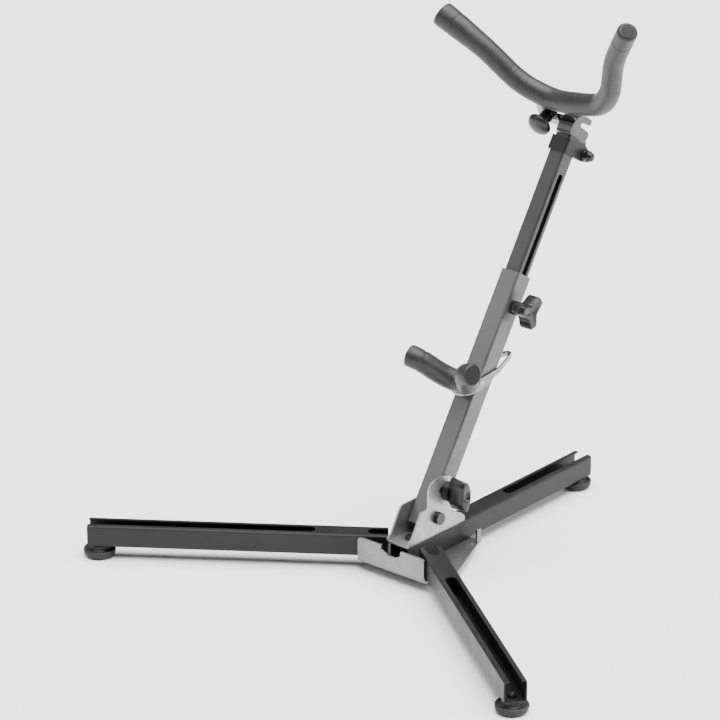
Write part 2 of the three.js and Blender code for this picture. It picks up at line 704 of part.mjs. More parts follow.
function bandRivet(side) {
  const rivet = join(
    pinX(BAND_HALF + GAP, BAND_HALF + 2, 0, 0, 2.8, 20),
    pinX(BAND_HALF - BAND_THICK, BAND_HALF + 1, 0, 0, 1.7, 20),
  );
  const shape = toGeometry(rivet).translate(0, RIVET_BACK, RIVET_S);
  if (side < 0) shape.rotateZ(Math.PI).translate(0, 2 * RIVET_BACK, 0);
  return shape;
}

const restCurve = mirroredCurve(REST_HALF, 0);

// Welded stub that ties the rest's rod to the band through the back of the pad.
function restStub(radius, from, to) {
  const start = new THREE.Vector3(0, REST_HALF[0][1], REST_HALF[0][2]);
  const direction = REST_STUB_END.clone().sub(start).normalize();
  const pin = new THREE.CylinderGeometry(radius, radius, to - from, 20).translate(0, (from + to) / 2, 0);
  const aim = new THREE.Quaternion().setFromUnitVectors(new THREE.Vector3(0, 1, 0), direction);
  return pin.applyQuaternion(aim).translate(start.x, start.y, start.z);
}

// ---- assembly: base --------------------------------------------------------
addPiece(floorGroup, 'base_plate', basePlate(), ...ZINC);
addPiece(floorGroup, 'leg_rear', raised(rearLeg(), REAR_LEG_BOTTOM), ...BLACK_PAINT);
addPiece(floorGroup, 'upright_bracket', uprightBracket(), ...ZINC);

const rearFoot = foot(REAR_LEG_BOTTOM - GAP).translate(0, REAR_FOOT_AT, 0);
addPiece(floorGroup, 'foot_rear', rearFoot, ...BLACK_RUBBER);
const rearNutAt = REAR_LEG_BOTTOM + WALL + GAP;
const rearScrew = footScrew(rearNutAt + 5).translate(0, REAR_FOOT_AT, 0);
addPiece(floorGroup, 'foot_screw_rear', rearScrew, ...DARK_STEEL);
addPiece(floorGroup, 'foot_nut_rear', footNut(rearNutAt).translate(0, REAR_FOOT_AT, 0), ...ZINC);

for (const [index, y] of BRACKET_SCREWS_Y.entries()) {
  const end = index === 0 ? 'front' : 'rear';
  const top = BRACKET_BOTTOM + BRACKET_THICK + GAP;
  const head = pinZ(0, y, top, top + 2.8, 5);
  const screw = join(head, pinZ(0, y, 4.2, top + 0.5, 2.5));
  addPiece(floorGroup, `bracket_screw_${end}`, screw, ...DARK_STEEL);
  const nut = hexNut(8, 2.8, 5.6, PLATE_BOTTOM - GAP).translate(0, y, 0);
  addPiece(floorGroup, `bracket_nut_${end}`, nut, ...ZINC);
}

const pinHead = pinX(BRACKET_HALF + GAP, BRACKET_HALF + 6, 0, MAST_PIVOT_Z, 7, 32);
const pinShank = pinX(-22, BRACKET_HALF + 1, 0, MAST_PIVOT_Z, 4, 28);
addPiece(floorGroup, 'mast_pivot_pin', join(pinHead, pinShank), ...DARK_STEEL);
const pinNut = hexNut(13, 4.3, -BRACKET_HALF - 6, -BRACKET_HALF - GAP);
pinNut.rotateY(Math.PI / 2).translate(0, 0, MAST_PIVOT_Z);
addPiece(floorGroup, 'mast_pivot_nut', pinNut, ...DARK_STEEL);

for (const side of [-1, 1]) {
  const hand = side < 0 ? 'left' : 'right';
  const pivot = pivotPoint(side);
  const headBottom = FRONT_LEG_BOTTOM + WALL + GAP;
  const washer = cut(pinZ(0, 0, PLATE_TOP + GAP, PLATE_TOP + GAP + WASHER_THICK, 9), pinZ(0, 0, 10, 18, 3.3));
  const bolt = pivotBolt(headBottom).translate(pivot.x, pivot.y, 0);
  addPiece(floorGroup, `leg_pivot_bolt_${hand}`, bolt, ...DARK_STEEL);
  const spacer = toGeometry(washer).translate(pivot.x, pivot.y, 0);
  addPiece(floorGroup, `leg_pivot_washer_${hand}`, spacer, ...ZINC);
  const nut = hexNut(10, 3.3, 4.6, PLATE_BOTTOM - GAP).translate(pivot.x, pivot.y, 0);
  addPiece(floorGroup, `leg_pivot_nut_${hand}`, nut, ...ZINC);

  const leg = frontLegGroup(side);
  addPiece(leg, `leg_${hand}`, raised(frontLeg(), FRONT_LEG_BOTTOM), ...BLACK_PAINT);
  addPiece(leg, `foot_${hand}`, foot(FRONT_LEG_BOTTOM - GAP).translate(0, LEG_FOOT_AT, 0), ...BLACK_RUBBER);
  addPiece(leg, `foot_screw_${hand}`, footScrew(headBottom + 5).translate(0, LEG_FOOT_AT, 0), ...DARK_STEEL);
  addPiece(leg, `foot_nut_${hand}`, footNut(headBottom).translate(0, LEG_FOOT_AT, 0), ...ZINC);
}

// ---- assembly: mast --------------------------------------------------------
addPiece(mastGroup, 'mast_outer_tube', outerTube(), ...BLACK_PAINT);
addPiece(mastGroup, 'mast_inner_tube', innerTube(), ...BLACK_PAINT);
addPiece(mastGroup, 'mast_end_cap', endCap(), ...BLACK_PLASTIC);

const hubStart = BRACKET_HALF + GAP;
const hubKnobStart = hubStart + 7.7;
const hubWasher = cut(pinX(hubStart, hubKnobStart - GAP, 0, HUB_AT, 11, 36), pinX(10, 30, 0, HUB_AT, 4.1));
addPiece(mastGroup, 'hub_knob_collar', hubWasher, ...BLACK_PLASTIC);
const hubBolt = clampBolt(5.6, TUBE / 2 - WALL - GAP, hubKnobStart + 14.6, 3.8, 7);
addPiece(mastGroup, 'hub_bolt', toGeometry(hubBolt).translate(0, 0, HUB_AT), ...DARK_STEEL);
const hub = toGeometry(hubKnob(hubKnobStart, hubKnobStart + 20));
addPiece(mastGroup, 'hub_knob', hub.rotateX(MAST_TILT).translate(0, 0, HUB_AT), ...BLACK_PLASTIC);

const heightStart = TUBE / 2 + GAP;
const heightBolt = clampBolt(4.6, INNER_TUBE / 2 - WALL - GAP, heightStart + 21.4, 3.7, 6.2);
addPiece(mastGroup, 'height_bolt', toGeometry(heightBolt).translate(0, 0, HEIGHT_AT), ...DARK_STEEL);
const heightKnob = toGeometry(wingKnob(heightStart, heightStart + 10.7, heightStart + 27.7));
heightKnob.rotateX(MAST_TILT).translate(0, 0, HEIGHT_AT);
addPiece(mastGroup, 'height_knob', heightKnob, ...BLACK_PLASTIC);

addPiece(mastGroup, 'head_collar', headCollar(), ...DARK_STEEL);
addPiece(mastGroup, 'head_bolt', headBolt(), ...DARK_STEEL);
addPiece(mastGroup, 'head_dome_nut', domeNut(), ...BLACK_PLASTIC);
addPiece(mastGroup, 'head_lug', headLug(), ...BRIGHT);

// ---- assembly: fork --------------------------------------------------------
const forkGroup = new THREE.Group();
forkGroup.applyMatrix4(forkToMast());
mastGroup.add(forkGroup);

// The fork sits a little turned on its clamp knob, which lifts one arm above the other.
function forkTurn() {
  const turn = new THREE.Matrix4().makeTranslation(...FORK_TURN_CENTRE);
  turn.multiply(new THREE.Matrix4().makeRotationZ(FORK_ROLL));
  turn.multiply(new THREE.Matrix4().makeRotationY(FORK_SWIVEL));
  return turn.multiply(new THREE.Matrix4().makeTranslation(...FORK_TURN_CENTRE.map((value) => -value)));
}

const fork = paddedBar(forkCurve, FORK_PAD_RADIUS, 15, 28);
const plateFront = ROD_RADIUS + 2 * GAP + 2.2;
const plateSlot = block(-40.5, -12.5, -42, -7.5, ROD_RADIUS, plateFront + 0.1);
addPiece(forkGroup, 'fork_plate', forkPlate(), ...BRIGHT);
addPiece(forkGroup, 'fork_rod', fork.rod.applyMatrix4(forkTurn()), ...DARK_STEEL);
addPiece(forkGroup, 'fork_sleeve', cut(fork.sleeve.applyMatrix4(forkTurn()), plateSlot), ...PAD);
addPiece(forkGroup, 'fork_tip_left', toGeometry(fork.tips[0]).applyMatrix4(forkTurn()), ...PAD);
addPiece(forkGroup, 'fork_tip_right', toGeometry(fork.tips[1]).applyMatrix4(forkTurn()), ...PAD);
const knobPlace = [FORK_KNOB_X, FORK_KNOB_UP, 0];
addPiece(forkGroup, 'fork_knob', forkKnob().translate(...knobPlace), ...BLACK_PLASTIC);
addPiece(forkGroup, 'fork_knob_bolt', toGeometry(forkKnobBolt()).translate(...knobPlace), ...DARK_STEEL);

// ---- assembly: lower rest --------------------------------------------------
const rest = paddedBar(restCurve, REST_PAD_RADIUS, 9, 18);
addPiece(mastGroup, 'support_band', supportBand(), ...BRIGHT);
addPiece(mastGroup, 'support_rivet_left', bandRivet(-1), ...ZINC);
addPiece(mastGroup, 'support_rivet_right', bandRivet(1), ...ZINC);
addPiece(mastGroup, 'support_rod', join(rest.rod, restStub(3, 1, REST_STUB_LENGTH)), ...DARK_STEEL);
addPiece(mastGroup, 'support_sleeve', cut(rest.sleeve, restStub(3.3, 1, REST_STUB_LENGTH + 4)), ...PAD);
addPiece(mastGroup, 'support_tip_left', rest.tips[0], ...BLACK_RUBBER);
addPiece(mastGroup, 'support_tip_right', rest.tips[1], ...BLACK_RUBBER);

export default stand;
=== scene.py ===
import json
import math

import bmesh
import bpy
from mathutils import Matrix, Vector, noise


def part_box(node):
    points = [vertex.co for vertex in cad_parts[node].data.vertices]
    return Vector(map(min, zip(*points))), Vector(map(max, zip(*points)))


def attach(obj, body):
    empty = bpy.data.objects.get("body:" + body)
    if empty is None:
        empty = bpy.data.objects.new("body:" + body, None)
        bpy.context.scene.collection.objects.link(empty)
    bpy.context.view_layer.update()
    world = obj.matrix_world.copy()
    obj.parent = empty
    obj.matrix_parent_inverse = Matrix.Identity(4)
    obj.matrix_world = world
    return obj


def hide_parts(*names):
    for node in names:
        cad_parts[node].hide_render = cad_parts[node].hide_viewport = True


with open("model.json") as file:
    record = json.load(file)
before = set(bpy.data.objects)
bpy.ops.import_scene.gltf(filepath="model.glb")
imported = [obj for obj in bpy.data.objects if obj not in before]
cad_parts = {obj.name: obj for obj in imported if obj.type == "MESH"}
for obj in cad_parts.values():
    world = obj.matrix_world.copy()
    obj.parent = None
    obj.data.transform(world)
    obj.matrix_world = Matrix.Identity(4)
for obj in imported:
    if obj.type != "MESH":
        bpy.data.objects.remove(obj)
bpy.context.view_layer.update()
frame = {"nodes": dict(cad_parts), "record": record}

# ---- driving dimensions, in millimetres, shared with the CAD model -------------
MM = 0.001
CENTRE_Y = 28.265
MAST_TILT = math.radians(33.04)
MAST_PIVOT_Z = 60.0
HUB_AT = 31.4
HEIGHT_AT = 247.0
HEAD_BOLT = (26.0, 435.6)
FORK_LEAN = math.radians(149.4)
FORK_CENTRE = (0.0, -31.3, 481.7)
FORK_ROLL = math.radians(12.5)
FORK_SWIVEL = math.radians(-4.1)
FORK_TURN_CENTRE = (-13.0, -17.4, 15.6)
FORK_SHIFT = 19.9
FORK_KNOB = (-30.8, -30.0)
FORK_PAD_RADIUS = 12.0
REST_PAD_RADIUS = 12.5
FOOT_RADIUS = 18.1
FOOT_NECK_RADIUS = 11.0
HUB_KNOB_FROM = 23.5
HUB_KNOB_TO = 43.5
HEIGHT_KNOB_FROM = 12.8
HEIGHT_WINGS_FROM = 23.5
HEIGHT_WINGS_TO = 40.5
FORK_KNOB_FROM = 7.1

FORK_HALF = [(0, -7.4, 0), (19, -7.2, 0), (41.1, -3.5, 0), (71, 18, 3), (105.5, 64.1, 2), (150.7, 108.4, 0)]
REST_HALF = [
    (0, -27.5, 148), (9, -29.6, 148.2), (17, -37.5, 149), (22.5, -49, 150.6),
    (27.6, -60, 152.6), (31.5, -66, 153.6), (37, -70.3, 154.5), (45, -72.4, 155),
]

TO_MAST = Matrix.Translation((0, -CENTRE_Y, MAST_PIVOT_Z)) @ Matrix.Rotation(-MAST_TILT, 4, "X")
TO_FORK = TO_MAST @ Matrix.Translation(FORK_CENTRE) @ Matrix.Rotation(FORK_LEAN, 4, "X")
FORK_TURN = (
    Matrix.Translation(FORK_TURN_CENTRE)
    @ Matrix.Rotation(FORK_ROLL, 4, "Z")
    @ Matrix.Rotation(FORK_SWIVEL, 4, "Y")
    @ Matrix.Translation([-value for value in FORK_TURN_CENTRE])
)
ALONG_X = Matrix(((0, 0, 1, 0), (1, 0, 0, 0), (0, 1, 0, 0), (0, 0, 0, 1)))

# Outline of the hub knob in (back, up) pairs.
HUB_KNOB_CORNERS = [
    (-7.5, 14), (-3, 20.5), (4, 17), (8.5, 6), (8.5, -6), (2.5, -20.5), (-3, -17), (-7.5, -10),
]
HUB_KNOB_ROUNDING = 3

# Wings of the height knob: degrees from a wing's middle, and radii.
WING_TURN = 36
WING_EDGE = 13
WING_FOOT = 30
WING_TIP = 19.6
WING_SHOULDER = 20.1
WING_WAIST = 12.0
WING_HOLLOW = 9.0

OUTLINE_POINTS = 144
TURNED_POINTS = 72
FORK_KNOB_POINTS = 64
PATH_STEPS = 24

# ---- edges of the metal pieces, in millimetres ---------------------------------
EDGE_WIDTH = 0.3
EDGE_WIDTHS = {
    "base_plate": 0.5,
    "upright_bracket": 0.5,
    "head_collar": 0.45,
    "head_lug": 1.5,
    "fork_plate": 0.5,
    "support_band": 0.5,
    "mast_end_cap": 0.5,
    "hub_knob_collar": 0.6,
    "mast_pivot_pin": 0.5,
}
EDGE_ANGLE = math.radians(30)
EDGE_SEGMENTS = 3
FLAT_ANGLE = math.radians(1.0)
SHARP_NODES = [
    "base_plate", "upright_bracket", "leg_rear", "leg_left", "leg_right", "mast_outer_tube",
    "mast_inner_tube", "head_collar", "head_lug", "fork_plate", "support_band", "mast_end_cap",
    "hub_knob_collar", "mast_pivot_pin", "mast_pivot_nut", "foot_nut_rear", "foot_nut_left",
    "foot_nut_right", "leg_pivot_bolt_left", "leg_pivot_bolt_right", "bracket_screw_front",
    "bracket_screw_rear", "leg_pivot_nut_left", "leg_pivot_nut_right", "support_rivet_left",
    "support_rivet_right",
]

# ---- foam sleeves, in millimetres ----------------------------------------------
# A seam is (distance along, depth); a negative distance counts from the far end.
FORK_SEAMS = [(21.0, 0.7), (104.0, 0.3), (109.5, 0.35), (-23.0, 0.6)]
REST_SEAMS = [(15.0, 0.8), (-15.0, 0.6)]
SEAM_WIDTH = 0.9
SLEEVE_SPACING = 1.1
SLEEVE_AROUND = 48
CUT_FACE_SHARES = (0.35, 0.7)
BEND_WINDOW = 4
MOST_FOLD = 0.9
FOLD_RATE = 1.55
FOLD_WANDER = 2.4
SWELL = 0.22
FORK_PAD_FULLER = 0.5
LEFT_TIP_FLARE = 2.0
RIGHT_ARM_SLIMMER = 1.1

# ---- camera --------------------------------------------------------------------
CAMERA_AZIMUTH = math.radians(40.227)
CAMERA_ELEVATION = math.radians(22.23)
CAMERA_DISTANCE = 4.4
CAMERA_LENS = 191.73
CAMERA_TARGET = Vector((-0.20266, 0.12684 - CENTRE_Y * MM, 0.150))


# ---- camera, floor and light ---------------------------------------------------
def build_camera():
    back = Vector((
        math.sin(CAMERA_AZIMUTH) * math.cos(CAMERA_ELEVATION),
        -math.cos(CAMERA_AZIMUTH) * math.cos(CAMERA_ELEVATION),
        math.sin(CAMERA_ELEVATION),
    ))
    data = bpy.data.cameras.new("camera")
    data.lens = CAMERA_LENS
    data.sensor_width = 36.0
    data.clip_end = 100.0
    camera = bpy.data.objects.new("camera", data)
    camera.location = CAMERA_TARGET + back * CAMERA_DISTANCE
    camera.rotation_euler = back.to_track_quat("Z", "Y").to_euler()
    bpy.context.scene.collection.objects.link(camera)
    bpy.context.scene.camera = camera


def area_light(name, location, aim, size, power):
    data = bpy.data.lights.new(name, "AREA")
    data.shape = "DISK"
    data.size = size
    data.energy = power
    lamp = bpy.data.objects.new(name, data)
    lamp.location = location
    direction = Vector(aim) - Vector(location)
    lamp.rotation_euler = direction.to_track_quat("-Z", "Y").to_euler()
    bpy.context.scene.collection.objects.link(lamp)


def sky_light(name, direction, softness, strength):
    """Broad even light from one direction, with soft shadows."""
    data = bpy.data.lights.new(name, "SUN")
    data.angle = math.radians(softness)
    data.energy = strength
    lamp = bpy.data.objects.new(name, data)
    lamp.rotation_euler = Vector(direction).to_track_quat("Z", "Y").to_euler()
    bpy.context.scene.collection.objects.link(lamp)


def build_studio():
    world = bpy.data.worlds.new("studio")
    world.use_nodes = True
    background = world.node_tree.nodes["Background"]
    background.inputs["Color"].default_value = (1, 1, 1, 1)
    background.inputs["Strength"].default_value = 0.14
    bpy.context.scene.world = world
    sky_light("overhead", (0.12, 0.1, 1.0), 70, 9.5)
    area_light("right_softbox", (2.2, 1.2, 1.3), (0, 0, 0.25), 1.4, 34)
    area_light("left_softbox", (-1.7, -1.9, 1.9), (0, 0, 0.3), 1.8, 19)
    bpy.ops.mesh.primitive_plane_add(size=14, location=(0, 0, 0))
    floor = bpy.context.object
    floor.name = "studio_floor"
    material, _, _, shader = new_material("studio_floor")
    shader.inputs["Base Color"].default_value = (0.95, 0.95, 0.95, 1)
    shader.inputs["Roughness"].default_value = 0.9
    floor.data.materials.append(material)


# ---- materials -----------------------------------------------------------------
def grey(value, blue=1.0):
    """A grey, with its blue share raised or lowered a little."""
    return (value, value, value * blue)


def new_material(name):
    material = bpy.data.materials.new(name)
    material.use_nodes = True
    nodes = material.node_tree.nodes
    return material, nodes, material.node_tree.links, nodes["Principled BSDF"]


def coordinates(nodes):
    return nodes.new("ShaderNodeTexCoord").outputs["Object"]


def stretched(nodes, links, scale):
    mapping = nodes.new("ShaderNodeMapping")
    mapping.inputs["Scale"].default_value = scale
    links.new(coordinates(nodes), mapping.inputs["Vector"])
    return mapping.outputs["Vector"]


def noise_texture(nodes, links, vector, scale, detail=4.0, roughness=0.55):
    texture = nodes.new("ShaderNodeTexNoise")
    texture.inputs["Scale"].default_value = scale
    texture.inputs["Detail"].default_value = detail
    texture.inputs["Roughness"].default_value = roughness
    links.new(vector, texture.inputs["Vector"])
    return texture.outputs["Fac"]


def ramp(nodes, links, factor, stops):
    node = nodes.new("ShaderNodeValToRGB")
    elements = node.color_ramp.elements
    while len(elements) < len(stops):
        elements.new(0.5)
    for element, (position, value) in zip(elements, stops):
        element.position = position
        element.color = (value, value, value, 1) if isinstance(value, float) else (*value, 1)
    links.new(factor, node.inputs["Fac"])
    return node.outputs["Color"]


def bump(nodes, links, height, strength, distance, base=None):
    node = nodes.new("ShaderNodeBump")
    node.inputs["Strength"].default_value = strength
    node.inputs["Distance"].default_value = distance
    links.new(height, node.inputs["Height"])
    if base is not None:
        links.new(base, node.inputs["Normal"])
    return node.outputs["Normal"]


def mix_colors(nodes, links, factor, first, second):
    node = nodes.new("ShaderNodeMix")
    node.data_type = "RGBA"
    links.new(factor, node.inputs[0])
    for value, socket in ((first, node.inputs[6]), (second, node.inputs[7])):
        if isinstance(value, tuple):
            socket.default_value = (*value, 1)
        else:
            links.new(value, socket)
    return node.outputs[2]


def paint_material(name, low, high, specular, metallic):
    """Satin powder coat: fine orange peel, faint mottling and a few rubbed flecks."""
    material, nodes, links, shader = new_material(name)
    where = coordinates(nodes)
    mottling = noise_texture(nodes, links, where, 26, 5)
    flecks = noise_texture(nodes, links, where, 480, 3, 0.7)
    base = ramp(nodes, links, mottling, [(0.3, grey(low, 1.02)), (0.7, grey(high, 1.02))])
    rubbed = ramp(nodes, links, flecks, [(0.70, 0.0), (0.78, 0.35)])
    links.new(mix_colors(nodes, links, rubbed, base, grey(0.12)), shader.inputs["Base Color"])
    links.new(ramp(nodes, links, mottling, [(0.3, 0.30), (0.75, 0.42)]), shader.inputs["Roughness"])
    peel = noise_texture(nodes, links, where, 900, 2)
    links.new(bump(nodes, links, peel, 0.16, 0.0004), shader.inputs["Normal"])
    shader.inputs["Specular IOR Level"].default_value = specular
    shader.inputs["Metallic"].default_value = metallic
    return material


def zinc_material(name, low, high):
    """Bright zinc plating: soft rolled grain, crystal patches and light scratches."""
    material, nodes, links, shader = new_material(name)
    where = coordinates(nodes)
    grain = noise_texture(nodes, links, stretched(nodes, links, (60, 900, 900)), 1.0, 3)
    spangle = nodes.new("ShaderNodeTexVoronoi")
    spangle.inputs["Scale"].default_value = 150
    links.new(where, spangle.inputs["Vector"])
    patches = noise_texture(nodes, links, where, 34, 5)
    tone = ramp(nodes, links, patches, [(0.3, grey(low)), (0.7, grey(high, 0.99))])
    crystals = ramp(nodes, links, spangle.outputs["Distance"], [(0.0, 0.0), (1.0, 0.35)])
    bright = (high * 1.3, high * 1.32, high * 1.35)
    links.new(mix_colors(nodes, links, crystals, tone, bright), shader.inputs["Base Color"])
    links.new(ramp(nodes, links, grain, [(0.25, 0.27), (0.8, 0.44)]), shader.inputs["Roughness"])
    scratched = bump(nodes, links, grain, 0.12, 0.0002)
    links.new(bump(nodes, links, patches, 0.08, 0.0006, scratched), shader.inputs["Normal"])
    shader.inputs["Metallic"].default_value = 0.85
    return material


def chrome_material(name, low, high, gloss):
    """Polished plating with faint polishing haze."""
    material, nodes, links, shader = new_material(name)
    where = coordinates(nodes)
    haze = noise_texture(nodes, links, where, 60, 6, 0.6)
    lines = noise_texture(nodes, links, stretched(nodes, links, (1400, 90, 90)), 1.0, 2)
    tone = ramp(nodes, links, haze, [(0.3, grey(low, 1.02)), (0.7, grey(high))])
    links.new(tone, shader.inputs["Base Color"])
    links.new(ramp(nodes, links, haze, [(0.3, gloss), (0.75, gloss + 0.11)]), shader.inputs["Roughness"])
    links.new(bump(nodes, links, lines, 0.05, 0.0002), shader.inputs["Normal"])
    shader.inputs["Metallic"].default_value = 1.0
    return material


def dark_steel_material():
    """Black oxide screws and rods: dark, slightly oily, worn towards grey."""
    material, nodes, links, shader = new_material("black_oxide_steel")
    where = coordinates(nodes)
    wear = noise_texture(nodes, links, where, 240, 5, 0.65)
    tone = ramp(nodes, links, wear, [(0.35, (0.035, 0.035, 0.037)), (0.75, (0.11, 0.11, 0.115))])
    links.new(tone, shader.inputs["Base Color"])
    links.new(ramp(nodes, links, wear, [(0.3, 0.28), (0.7, 0.45)]), shader.inputs["Roughness"])
    links.new(bump(nodes, links, wear, 0.1, 0.0002), shader.inputs["Normal"])
    shader.inputs["Metallic"].default_value = 0.9
    return material


def rubber_material():
    """Moulded black rubber: matt, finely pitted, dusty in patches."""
    material, nodes, links, shader = new_material("moulded_rubber")
    where = coordinates(nodes)
    dust = noise_texture(nodes, links, where, 70, 6, 0.6)
    pits = noise_texture(nodes, links, where, 1500, 2)
    tone = ramp(nodes, links, dust, [(0.35, grey(0.006)), (0.8, grey(0.016))])
    links.new(tone, shader.inputs["Base Color"])
    links.new(ramp(nodes, links, dust, [(0.3, 0.5), (0.7, 0.75)]), shader.inputs["Roughness"])
    links.new(bump(nodes, links, pits, 0.25, 0.0003), shader.inputs["Normal"])
    return material


def plastic_material():
    """Glossy black moulded plastic with a soft skin texture and handling marks."""
    material, nodes, links, shader = new_material("black_plastic")
    where = coordinates(nodes)
    marks = noise_texture(nodes, links, where, 130, 6, 0.62)
    skin = noise_texture(nodes, links, where, 1100, 2)
    tone = ramp(nodes, links, marks, [(0.3, (0.008, 0.008, 0.0085)), (0.75, (0.018, 0.018, 0.0185))])
    links.new(tone, shader.inputs["Base Color"])
    links.new(ramp(nodes, links, marks, [(0.3, 0.27), (0.75, 0.34)]), shader.inputs["Roughness"])
    links.new(bump(nodes, links, skin, 0.08, 0.0002), shader.inputs["Normal"])
    shader.inputs["Specular IOR Level"].default_value = 0.34
    shader.inputs["Coat Weight"].default_value = 0.08
    shader.inputs["Coat Roughness"].default_value = 0.2
    return material


def foam_material(name, tone):
    """Soft dark foam with a smooth skin: fine cells, chalky scuffs and a sheen.

    A tone under 1 makes it darker and duller, as on a cut end.
    """
    material, nodes, links, shader = new_material(name)
    where = coordinates(nodes)
    scuffs = noise_texture(nodes, links, where, 45, 8, 0.62)
    cells = nodes.new("ShaderNodeTexVoronoi")
    cells.inputs["Scale"].default_value = 1300
    links.new(where, cells.inputs["Vector"])
    creases = noise_texture(nodes, links, where, 210, 6, 0.6)
    base = ramp(nodes, links, scuffs, [(0.3, grey(0.013 * tone)), (0.72, grey(0.024 * tone))])
    chalk = ramp(nodes, links, creases, [(0.6, 0.0), (0.85, 0.5)])
    links.new(mix_colors(nodes, links, chalk, base, grey(0.07)), shader.inputs["Base Color"])
    links.new(ramp(nodes, links, scuffs, [(0.3, 0.40), (0.7, 0.55)]), shader.inputs["Roughness"])
    fine = bump(nodes, links, cells.outputs["Distance"], 0.14, 0.0003)
    links.new(bump(nodes, links, creases, 0.16, 0.0008, fine), shader.inputs["Normal"])
    shader.inputs["Sheen Weight"].default_value = 0.08 * tone
    shader.inputs["Specular IOR Level"].default_value = 0.4 * tone
    shader.inputs["Sheen Roughness"].default_value = 0.4
    return material


# ---- mesh helpers --------------------------------------------------------------
def make_object(name, points, faces, matrix, material, body, replaced):
    mesh = bpy.data.meshes.new(name)
    mesh.from_pydata([(matrix @ Vector(point)) * MM for point in points], [], faces)
    mesh.materials.append(material)
    bm = bmesh.new()
    bm.from_mesh(mesh)
    bmesh.ops.recalc_face_normals(bm, faces=bm.faces)
    bm.to_mesh(mesh)
    bm.free()
    mesh.polygons.foreach_set("use_smooth", [True] * len(mesh.polygons))
    piece = bpy.data.objects.new(name, mesh)
    bpy.context.scene.collection.objects.link(piece)
    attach(piece, body)
    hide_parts(*replaced)
    return piece


def loft(rings, closed_start=True, closed_end=True):
    """Points and faces of a skin through rings of equal length, closed by centre fans."""
    count = len(rings[0])
    points = [point for ring in rings for point in ring]
    faces = []
    for row in range(len(rings) - 1):
        for i in range(count):
            j = (i + 1) % count
            a = row * count
            b = a + count
            faces.append((a + i, a + j, b + j, b + i))
    for wanted, row in ((closed_start, 0), (closed_end, len(rings) - 1)):
        if wanted:
            ring = rings[row]
            centre = sum((Vector(point) for point in ring), Vector()) / count
            points.append(tuple(centre))
            hub = len(points) - 1
            for i in range(count):
                faces.append((row * count + i, row * count + (i + 1) % count, hub))
    return points, faces


def turned(profile, segments):
    """Rings of a turned shape about Z from (radius, height) pairs."""
    rings = []
    for radius, height in profile:
        ring = []
        for i in range(segments):
            angle = 2 * math.pi * i / segments
            ring.append((radius * math.cos(angle), radius * math.sin(angle), height))
        rings.append(ring)
    return rings


def shape_rings(stations, outline):
    """Rings along X: each station is (x, inset, scale) of a radial outline given per angle."""
    rings = []
    count = len(outline)
    for x, inset, scale in stations:
        ring = []
        for i, radius in enumerate(outline):
            angle = 2 * math.pi * i / count
            reach = max(radius * scale - inset, 0.05)
            ring.append((x, reach * math.cos(angle), reach * math.sin(angle)))
        rings.append(ring)
    return rings


def smoothed(radii):
    """The radii of a closed outline, each averaged with its two neighbours."""
    count = len(radii)
    return [(radii[i - 1] + 2 * radii[i] + radii[(i + 1) % count]) / 4 for i in range(count)]


def round_edges(piece, width):
    """Merges flat facets, then rounds the hard edges so that they catch the light."""
    flat = piece.modifiers.new("merge_facets", "DECIMATE")
    flat.decimate_type = "DISSOLVE"
    flat.angle_limit = FLAT_ANGLE
    bevel = piece.modifiers.new("edge_round", "BEVEL")
    bevel.width = width * MM
    bevel.segments = EDGE_SEGMENTS
    bevel.limit_method = "ANGLE"
    bevel.angle_limit = EDGE_ANGLE
    bevel.harden_normals = True
    piece.data.polygons.foreach_set("use_smooth", [True] * len(piece.data.polygons))


# ---- smooth paths --------------------------------------------------------------
def catmull(points, per_span):
    """Centripetal Catmull-Rom curve through the points, with mirrored end points."""
    control = [Vector(point) for point in points]
    control.insert(0, control[0] * 2 - control[1])
    control.append(control[-1] * 2 - control[-2])
    path = []
    for k in range(1, len(control) - 2):
        p0, p1, p2, p3 = control[k - 1:k + 3]
        t01 = (p1 - p0).length ** 0.5
        t12 = (p2 - p1).length ** 0.5
        t23 = (p3 - p2).length ** 0.5
        m1 = (p2 - p1) - t12 * ((p2 - p0) / (t01 + t12) - (p1 - p0) / t01)
        m2 = (p2 - p1) + t12 * ((p3 - p2) / t23 - (p3 - p1) / (t12 + t23))
        for i in range(per_span):
            t = i / per_span
            h00 = 2 * t ** 3 - 3 * t ** 2 + 1
            h10 = t ** 3 - 2 * t ** 2 + t
            h01 = -2 * t ** 3 + 3 * t ** 2
            h11 = t ** 3 - t ** 2
            path.append(p1 * h00 + m1 * h10 + p2 * h01 + m2 * h11)
    path.append(control[-2])
    return path


def resample(path, spacing):
    """Evenly spaced points on a path, and its length."""
    lengths = [0.0]
    for first, second in zip(path, path[1:]):
        lengths.append(lengths[-1] + (second - first).length)
    count = max(int(lengths[-1] / spacing), 8)
    result = []
    index = 0
    for i in range(count + 1):
        wanted = lengths[-1] * i / count
        while index < len(lengths) - 2 and lengths[index + 1] < wanted:
            index += 1
        share = (wanted - lengths[index]) / (lengths[index + 1] - lengths[index])
        result.append(path[index].lerp(path[index + 1], share))
    return result, lengths[-1]


def mirrored(half, shift):
    """Both halves of a path given from its middle out, moved along X by shift."""
    left = [(-x, y, z) for x, y, z in reversed(half[1:])]
    return [(x + shift, y, z) for x, y, z in left + list(half)]


def smoothstep(low, high, value):
    """0 below low, 1 above high and a smooth rise between them."""
    t = min(max((value - low) / (high - low), 0.0), 1.0)
    return t * t * (3 - 2 * t)


